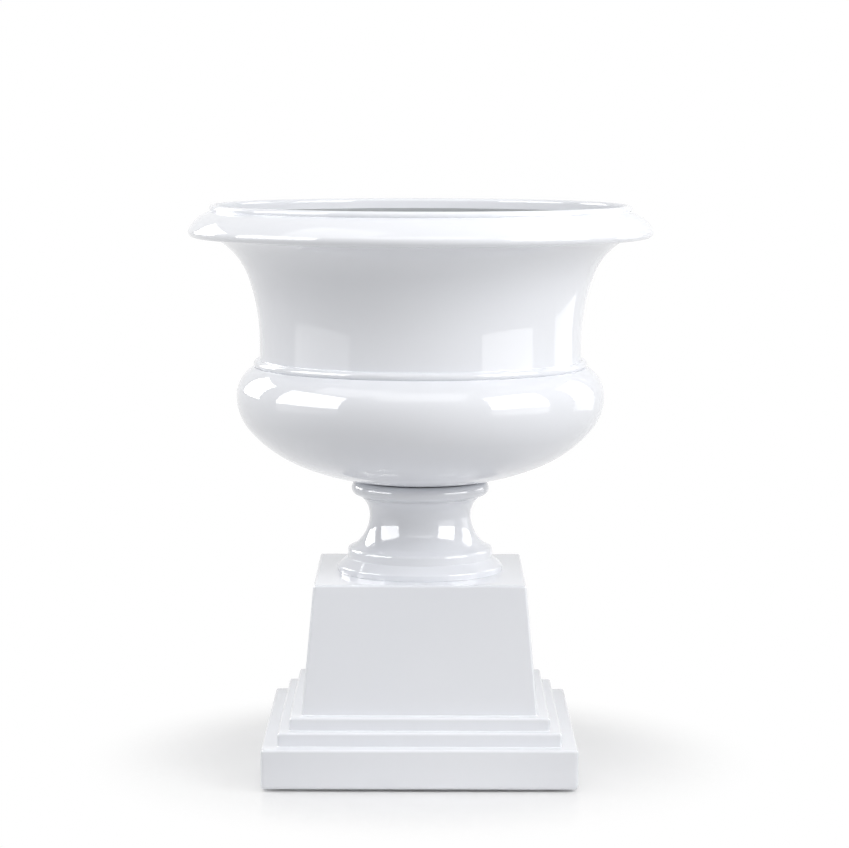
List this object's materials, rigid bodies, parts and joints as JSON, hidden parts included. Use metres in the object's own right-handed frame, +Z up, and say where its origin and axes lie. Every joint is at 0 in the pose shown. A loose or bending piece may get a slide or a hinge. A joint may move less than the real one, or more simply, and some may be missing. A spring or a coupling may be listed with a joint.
{
  "type": "urn planter",
  "caption": "Classical campana urn planter with rolled rim, bell, round bowl and moulded foot, standing on a separate stepped square plinth.",
  "frame": {"origin": "centre of the plinth on the floor, under the urn's axis", "axes": "+Z up along the urn's axis, X and Y square to the plinth's sides"},
  "size_m": [0.6192, 0.619, 0.75],
  "materials": {
    "lacquered_shell": "white high-gloss lacquer on glass-fibre reinforced plastic",
    "marine_ply": "sealed marine plywood",
    "timber_block": "planed softwood",
    "turned_polymer": "turned off-white polymer board",
    "fitting_polymer": "black moulded polypropylene",
    "rubber": "black rubber",
    "zinc_screw": "zinc-plated steel",
    "steel": "stainless steel"
  },
  "bodies": {
    "plinth": {"plinth_shell": "lacquered_shell", "top_board": "marine_ply", "locating_ring": "turned_polymer", "locating_screws": "zinc_screw", "corner_block_1": "timber_block", "corner_block_2": "timber_block", "corner_block_3": "timber_block", "corner_block_4": "timber_block", "base_panel": "marine_ply", "panel_screws": "zinc_screw", "pad_screws": "zinc_screw", "floor_pad_1": "rubber", "floor_pad_2": "rubber", "floor_pad_3": "rubber", "floor_pad_4": "rubber"},
    "urn": {"urn_foot": "lacquered_shell", "foot_ring": "marine_ply", "urn_bowl": "lacquered_shell", "urn_bell": "lacquered_shell", "bowl_gasket": "rubber", "flange_seal": "rubber", "clamp_washer": "steel", "drain_fitting": "fitting_polymer", "lock_nut": "fitting_polymer"},
    "drain_plug": {"drain_bung": "rubber"},
    "pull_ring": {"pull_ring": "steel"}
  },
  "joints": [
    {"name": "urn_lift", "type": "slide", "parent": "plinth", "child": "urn", "axis": [0, 0, 1], "range_m": [0, 0.15]},
    {"name": "plug_pull", "type": "slide", "parent": "urn", "child": "drain_plug", "axis": [0, 0, 1], "range_m": [0, 0.06]},
    {"name": "ring_swing", "type": "hinge", "parent": "drain_plug", "child": "pull_ring", "pos_m": [0, 0, 0.3957], "axis": [1, 0, 0], "range_deg": [-180, 0]}
  ]
}
